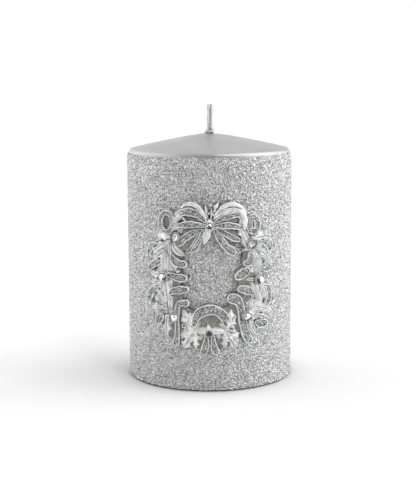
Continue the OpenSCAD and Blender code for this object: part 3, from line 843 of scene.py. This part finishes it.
def lacquer_coat():
    """The lacquered body: base edge, side, shoulder and conical top with a collar at the wick."""
    slope = math.radians(10.5)
    shoulder_r = 1.85
    edge_r = 1.05
    collar_h, collar_w = 1.1, 1.6
    collar_lip = 0.1
    dome_h, wave_h = 1.7, 0.12
    wave_from, wave_to = 6, LACQUER_R - 3
    film = 0.2
    film_bore_r = WICK_R - 0.3
    half_way_up = CONE_TIP / 2
    apex_z = CONE_TIP - collar_h + (WICK_R + collar_w) * math.tan(slope)
    centre_r = LACQUER_R - shoulder_r
    centre_z = apex_z - centre_r * math.tan(slope) - shoulder_r / math.cos(slope)
    cone_outer_r, cone_inner_r = centre_r - 2, WICK_R + 1.5 * collar_w
    outer = [(LACQUER_R - edge_r, 0)]
    outer += [(LACQUER_R - edge_r * (1 - math.sin(b)), edge_r * (1 - math.cos(b)))
              for b in np.linspace(0, math.pi / 2, 9)]
    outer += [(LACQUER_R, z) for z in np.linspace(2, centre_z, 12)]
    outer += [(centre_r + shoulder_r * math.cos(b), centre_z + shoulder_r * math.sin(b))
              for b in np.linspace(0.1, math.pi / 2 - slope, 14)]
    outer += [(r, apex_z - r * math.tan(slope)) for r in np.linspace(cone_outer_r, cone_inner_r, 30)]
    outer += [(WICK_R + collar_w * (1 - s) ** 2, CONE_TIP - collar_h * (1 - s))
              for s in np.linspace(0.1, 0.9, 7)]
    outer += [(WICK_R, CONE_TIP - collar_lip)]
    inner = [(max(r - film, film_bore_r), z - film * (z > half_way_up)) for r, z in outer[::-1]]

    def relief(r, z, a):
        """Height added to the top: a low dome, and faint waves clear of wick and shoulder."""
        away = np.clip((r - wave_from) / 10, 0, 1) * np.clip((wave_to - r) / 6, 0, 1)
        inward = np.clip(1 - r / centre_r, 0, 1)
        clear = np.clip((r - WICK_R) / 2, 0, 1)
        dome = dome_h * inward * (1 - inward) ** 0.6 * clear * (z > half_way_up)
        return dome + wave_h * away * (np.sin(3 * a + 1) * 0.5 + np.sin(5 * a + r / 5) * 0.3)

    shell = lathe(outer + inner, 192, relief)
    piece("lacquer_body", [shell], LACQUER, ["lacquer_coat"])


# Strands of the wick: (angle in degrees, radius as a share of the wick's).
STRANDS = [(-165, 0.6), (-12, 0.46), (90, 0.5)]
# Drops of wax at the wick's foot: (x, y, height above the cone's tip, radius).
WAX_DROPS = [
    (-1.1, -1, -0.1, 0.5), (0.2, -1.45, 0.1, 0.55), (1.8, -0.9, -0.3, 0.5), (1.5, -0.8, 1, 0.55),
    (0.6, -1.1, 2, 0.45), (-0.6, 1.3, 0, 0.55), (0.9, 1.1, 0.6, 0.5),
]


def wick():
    """Three waxed strands, slowly twisted, which spread into lumps of wax at their foot."""
    pitch = 220.0
    sunk, blunt = 2.6, 0.15
    flare_low, flare_h, flare_out = 0.9, 1.5, 1.5
    bundle_r = 1.12 * WICK_R
    lean = 0.3
    flat = 0.8
    steps, sides = 60, 14
    z = np.linspace(CONE_TIP - sunk, WICK_TIP - blunt, steps)
    flare = np.exp(-(np.clip(z - CONE_TIP + flare_low, 0, None) / flare_h) ** 2)
    a = full_turn(sides)
    ring = np.stack([np.cos(a), np.sin(a), 0 * a], -1)
    solids = []
    for at, share in STRANDS:
        turn = math.radians(at) + 2 * math.pi * (z - WICK_TIP) / pitch
        strand_r = share * WICK_R
        out = (bundle_r - strand_r) * (1 + flare_out * flare)
        centre = np.stack([out * np.cos(turn) + lean * (1 - flare), out * np.sin(turn), z], -1)
        lumps = 0.11 * np.sin(z * 1.1 + at) + 0.05 * np.sin(z * 4 + at)
        lumps += flare * (0.45 + 0.25 * np.sin(z * 5 + at))
        swell = strand_r * (0.96 + lumps)
        points = metres((centre[:, None] + swell[:, None, None] * ring).reshape(-1, 3))
        faces = grid_faces(steps, sides, closed_columns=True)
        faces += [list(range(sides)), [(steps - 1) * sides + j for j in range(sides)]]
        solids.append((points, faces))
    b = np.linspace(0.05, np.pi - 0.05, 9)
    for x, y, above, r in WAX_DROPS:
        points, faces = lathe(np.stack([r * np.sin(b), -flat * r * np.cos(b)], -1), 16)
        solids.append((points + metres([x, y, CONE_TIP + above]), faces))
    piece("wick_strands", solids, COTTON, ["wick"])


# ---- Wreath ----


def polar(points, a):
    """A closed curve's points at the angles a, from corner points about the centre."""
    blur = 3
    corners = np.array(points, float)
    turn = np.arctan2(corners[:, 1], corners[:, 0])
    reach = np.interp(a, turn, np.hypot(*corners.T), period=2 * np.pi)
    soft = np.mean([np.roll(reach, k) for k in range(-blur, blur + 1)], axis=0)
    return np.stack([soft * np.cos(a), soft * np.sin(a)], -1)


def sheet_layer(inset, foot_r, top_r):
    """A layer of the backing's outline with its opening, set in by the inset from both edges."""
    steps = 360
    soft_h, soft_w = 0.15, 0.02
    a = full_turn(steps)
    edge, opening = polar(BACKING_EDGE, a), polar(BACKING_OPENING, a)
    width = np.linalg.norm(edge - opening, axis=1)[:, None]
    edge, opening = edge + (opening - edge) * inset / width, opening + (edge - opening) * inset / width
    section = [(0, foot_r), (0, top_r - soft_h), (soft_w, top_r)]
    section += [(1 - s, r) for s, r in section[::-1]]
    points = np.concatenate([on_candle(*(edge + s * (opening - edge)).T, r) for s, r in section])
    return points, grid_faces(len(section), steps, closed_rows=True, closed_columns=True)


def backing():
    film_inset, film_sunk = 0.8, 0.3
    solids = [sheet_layer(0, BACK_R, CURL_R)]
    solids += [leaf(*shape, BACK_R, CURL_R + rise) for rise, shape in BACKING_SWELLS]
    piece("backing_sheet", solids, BACKING, ["wreath_backing"])
    film = sheet_layer(film_inset, GRIT_R - film_sunk, BACK_R)
    piece("adhesive_film", [film], ADHESIVE, ["wreath_adhesive"])


def curls():
    rng = np.random.default_rng(5)
    drop = CURL_R - GRIT_R
    bands, fill = {}, []
    for name, (controls, half) in CURLS.items():
        bands[name] = ribbon(controls, half, CHANNEL, CURL_R, drop)
        fill.append(channel_bed(controls, half, CURL_R, rng))
    for name, (centre, half_size, half) in HOOPS.items():
        bands[name] = hoop(centre, half_size, half, CHANNEL, CURL_R, drop)
        fill.append(hoop_bed(centre, half_size, half, CURL_R, rng))
    for name, band in bands.items():
        piece(name + "_band", [band], CASTING, [name])
    piece("curl_glitter_fill", fill, GLITTER, ["curl_glitter"], smooth=False)


def bow():
    """The bow: tails at the curls' level, loops on top of them, the knot and its sprig."""
    rng = np.random.default_rng(6)
    tail_arch, loop_arch = 0.4, 0.8
    band_sunk, ground_rise = 0.3, 0.5
    ruffle_drop, ruffle_rise = 0.5, 1.4
    knot_sunk, sprig_rise, bead_rise = 0.4, 0.6, 1
    fill = []
    for bands, seat, arch in ((BOW_TAILS, CURL_R, tail_arch), (BOW_LOOPS, LEAF_R, loop_arch)):
        for name, strips in bands.items():
            solids = []
            for finish, controls, half in strips:
                section = PLAIN if finish == "plain" else CHANNEL
                solids.append(ribbon(controls, half, section, seat, seat - CURL_R + band_sunk, arch))
                if finish == "glitter":
                    fill.append(channel_bed(controls, half, seat, rng, arch))
            for shape in RUFFLES.get(name, []):
                solids.append(leaf(*shape, seat - ruffle_drop, seat + ruffle_rise))
            for shape in BOW_GROUND.get(name, []):
                solids.append(leaf(*shape, BACK_R, CURL_R + ground_rise))
            piece(name + "_bands", solids, CASTING, [name])
    piece("bow_glitter_fill", fill, GLITTER, ["bow_glitter"], smooth=False)
    knot = leaf(*BOW_KNOT, LEAF_R, CROWN_R - knot_sunk)
    piece("bow_knot_fold", [knot], CASTING, ["bow_knot"])
    sprig = [leaf(*ray, GRIT_R, LEAF_R + sprig_rise) for ray in BOW_SPRIG]
    sprig += [bead(centre, r, LEAF_R, LEAF_R + bead_rise) for centre, r in BEADS["bow_sprig"]]
    piece("bow_sprig_leaves", sprig, LEAF_CASTING, ["bow_sprig"])


def bead(centre, radius, foot_r, top_r):
    """A domed button on the sheet."""
    axis_r = 0.02
    height = top_r - foot_r
    a = np.linspace(0, np.pi / 2, 7)
    dome = [(radius * math.cos(b), height * (0.5 + 0.5 * math.sin(b))) for b in a[:-1]]
    profile = [(axis_r, 0), (radius, 0)] + dome + [(axis_r, height)]
    points, faces = lathe(profile, 20)
    return stand(centre, (0, 0), points / MM, foot_r), faces


def leaves():
    """Overlapping leaves: each is a little higher than the one before."""
    first_top, step = LEAF_R + 0.2, 0.22
    leaf_foot, web_top = GRIT_R - 0.1, CURL_R + 0.5
    tilt = 0.16
    bead_rise = 0.3
    wire, sunk, drop = 0.25, 1, 0.8
    for name, sprig in SPRIGS.items():
        solids = [leaf(*shape, leaf_foot, web_top) for shape in WEBS.get(name, [])]
        for i, shape in enumerate(sprig):
            top = min(first_top + step * i, KNOT_R)
            solids.append(leaf(*shape, leaf_foot, top, tilt * (-1) ** i))
        top = min(first_top + step * len(sprig), KNOT_R)
        for centre, r in BEADS.get(name, []):
            solids.append(bead(centre, r, GRIT_R, top + bead_rise))
        for centre, r in RINGLETS.get(name, []):
            solids.append(hoop(centre, (r - wire, r - wire), wire, PLAIN[:3], top - sunk, drop))
        piece(name + "_leaves", solids, LEAF_CASTING, [name])


def stand(centre, lean, points, foot_r):
    """Local points (right, up, out) on an axis that leans by degrees, moved to a place on the sheet."""
    right, up = (math.radians(v) for v in lean)
    p = np.asarray(points, float)
    cos, sin = math.cos(up), math.sin(up)
    turn_x = np.array([[1, 0, 0], [0, cos, sin], [0, -sin, cos]])
    cos, sin = math.cos(right), math.sin(right)
    turn_y = np.array([[cos, 0, sin], [0, 1, 0], [-sin, 0, cos]])
    p = p @ turn_x.T @ turn_y.T
    a = centre[0] / GRIT_R
    out = np.array([math.sin(a), -math.cos(a), 0])
    side = np.array([math.cos(a), math.sin(a), 0])
    height = np.array([0, 0, 1])
    base = foot_r * out + (centre[1] + WREATH_Z) * height
    return metres(base + p[:, :1] * side + p[:, 1:2] * height + p[:, 2:] * out)


# Rings of a cut stone: (radius, height, corners, turn); lengths are shares of half its diameter.
CUT = [
    (0.15, -0.42, 8, 0), (0.9, -0.03, 16, 0), (0.92, 0.03, 16, 0), (0.74, 0.28, 8, 0.5), (0.44, 0.42, 8, 0),
]


def brilliant(d):
    """A cut stone: culet, pavilion, girdle, two tiers of crown facets and a flat table."""
    sides = 8
    points, starts = [], []
    for share, height, n, turn in CUT:
        a = 2 * np.pi * (np.arange(n) + turn) / n
        starts.append(len(points))
        points += [(share * d / 2 * math.cos(v), share * d / 2 * math.sin(v), height * d / 2) for v in a]
    culet, under, girdle, middle, table = starts
    faces = [[culet + i for i in range(sides)], [table + i for i in range(sides)]]
    faces += [[under + v for v in f] for f in grid_faces(2, 2 * sides, closed_columns=True)]
    for i in range(sides):
        j = (i + 1) % sides
        near, far = 2 * i, 2 * j
        faces += [
            [culet + i, culet + j, under + far, under + near + 1],
            [culet + i, under + near + 1, under + near],
            [girdle + near, girdle + near + 1, middle + i],
            [girdle + near + 1, girdle + far, middle + i],
            [middle + i, girdle + far, middle + j],
            [table + i, middle + i, table + j],
            [middle + i, middle + j, table + j],
        ]
    return points, faces


def paint_facet_reflections(obj, centre, d, dark, rng):
    """Painted reflections: dark facets on the side that a stone is given, bright glints elsewhere, and a set
    tone on the table.
    """
    painted_glint_tones, painted_dark_reflection_tones = (0.7, 1), (0, 0.12)
    table_reach = 0.12 * d
    way, spread, table = dark
    a = centre[0] / GRIT_R
    middle = on_candle(centre[0], centre[1], CURL_R)
    side = np.array([math.cos(a), math.sin(a), 0])
    limit = math.cos(math.radians(spread / 2))
    tones = []
    for face in obj.data.polygons:
        offset = (np.array(face.center) - middle) / MM
        x, y = offset @ side, offset[2]
        facing = math.cos(math.atan2(y, x) - math.radians(way))
        tone = rng.uniform(*(painted_glint_tones if facing < limit else painted_dark_reflection_tones))
        tones.append(table if math.hypot(x, y) < table_reach else tone)
    layer = obj.data.attributes.new(PAINTED_REFLECTION_ATTRIBUTE, "FLOAT", "FACE")
    layer.data.foreach_set("value", tones)


def stones():
    """Each stone in a cup. The bow's is set into the knot, the others between the leaves."""
    wall, gap = 0.24, 0.06
    axis_r, seat_depth = 0.05, 0.8
    proud, stone_lift = 0.25, 0.05
    rng = np.random.default_rng(8)
    cups = []
    for name, (centre, d, lean, dark) in STONES.items():
        on_knot = name == "rhinestone_bow"
        foot = LEAF_R if on_knot else GRIT_R
        height = (CROWN_R if on_knot else KNOT_R + proud) - foot
        inner = d / 2 + gap
        outer = inner + wall
        section = [
            (outer, 0), (outer, height - 0.3), (outer - 0.06, height - 0.08), (outer - wall / 2, height),
            (inner + 0.03, height - 0.08), (inner, height - 0.25), (inner / 2, height - seat_depth),
            (axis_r, height - seat_depth), (axis_r, 0),
        ]
        points, faces = lathe(section, 32)
        cups.append((stand(centre, (0, 0), points / MM, foot), faces))
        points, faces = brilliant(d)
        cut = stand(centre, lean, points, foot + height + stone_lift)
        stone = piece(name + "_cut", [(cut, faces)], STONE, [name], smooth=False)
        paint_facet_reflections(stone, centre, d, dark, rng)
    piece("stone_cups", cups, CUP, ["rhinestone_cups"])


grit_coat()
lacquer_coat()
wick()
backing()
curls()
bow()
leaves()
stones()
for node, material in (("wax_core", wax()), ("wick_sustainer", steel())):
    frame["nodes"][node].data.materials.clear()
    frame["nodes"][node].data.materials.append(material)

# ---- Stage, in metres ----

# The studio's brightness along Y, from front (-1) to back (1), and along X, left to right; they add up.
STUDIO = {
    "Y": [(-1, 0.06), (-0.5, 0.19), (0, 0.72), (1, 0.95)],
    "X": [(-1, 1.2), (-0.5, 0.6), (-0.12, 0), (0.45, 0.06), (1, 1.85)],
}


def floor():
    """A pale floor, with a painted contact shadow that makes it darker close to the candle."""
    size = 3.0
    m = Nodes("floor")
    pale = m.ramp(m.noise(3, 1), [(0.3, grey(0.805)), (0.7, grey(0.825))])
    # Painted shadow: a narrow dark rim at the candle's foot and a broad soft shade round it.
    painted_contact_shadow = m.shaded(pale, m.painted_crevice_shade(3, 0.6))
    m.set(Base_Color=m.shaded(painted_contact_shadow, m.painted_crevice_shade(17, 0.7)), Roughness=0.9, Specular_IOR_Level=0.1)
    corners = [(-size, -size, 0), (size, -size, 0), (size, size, 0), (-size, size, 0)]
    mesh = bpy.data.meshes.new("floor")
    mesh.from_pydata(corners, [], [(0, 1, 2, 3)])
    mesh.materials.append(m.material)
    obj = add_object("floor", mesh)


def world():
    """White to the eye; to the object, a studio, dim in front and bright at the sides and behind."""
    white = (1, 1, 1, 1)
    backdrop = 1.05
    w = bpy.data.worlds.new("studio")
    w.use_nodes = True
    bpy.context.scene.world = w
    tree = w.node_tree
    coords = add_node(tree, "TexCoord")
    split = add_node(tree, "SeparateXYZ", Vector=coords.outputs["Generated"])
    total = add_node(tree, "Math")
    for i, (axis, stops) in enumerate(STUDIO.items()):
        span = add_node(tree, "MapRange", Value=split.outputs[axis], From_Min=-1)
        ramp = add_node(tree, "ValToRGB", Fac=span.outputs["Result"])
        set_stops(ramp, [((at + 1) / 2, grey(value)) for at, value in stops])
        tree.links.new(ramp.outputs["Color"], total.inputs[i])
    studio = feed(tree, tree.nodes["Background"], Color=white, Strength=total.outputs["Value"])
    seen = add_node(tree, "Background", Color=white, Strength=backdrop)
    path = add_node(tree, "LightPath")
    mix = add_node(tree, "MixShader", Fac=path.outputs["Is Camera Ray"])
    tree.links.new(studio.outputs["Background"], mix.inputs[1])
    tree.links.new(seen.outputs["Background"], mix.inputs[2])
    tree.links.new(mix.outputs["Shader"], tree.nodes["World Output"].inputs["Surface"])


def sun(name, azimuth, elevation, spread, strength):
    """A sun on the right (+X), turned towards the front by azimuth. Angles are in degrees."""
    light = bpy.data.lights.new(name, "SUN")
    light.energy = strength
    light.angle = math.radians(spread)
    obj = add_object(name, light)
    obj.rotation_euler = (math.radians(90 - elevation), 0, math.radians(90 - azimuth))


def camera():
    """In front, a little above the candle and turned down."""
    distance, height = 0.4674, 0.1265
    down, roll = 8.685, -0.245
    data = bpy.data.cameras.new("camera")
    data.lens = 84.61
    data.shift_x = -0.0035
    data.clip_start = 0.01
    obj = add_object("camera", data)
    obj.location = (0, -distance, height)
    obj.rotation_euler = (math.radians(90 - down), 0, 0)
    obj.rotation_euler.rotate_axis("Z", math.radians(roll))
    bpy.context.scene.camera = obj


floor()
world()
sun("key", azimuth=6, elevation=48, spread=66, strength=1.08)
sun("sparkle", azimuth=58, elevation=52, spread=10, strength=0.36)
camera()
bpy.context.scene.view_settings.view_transform = "Standard"
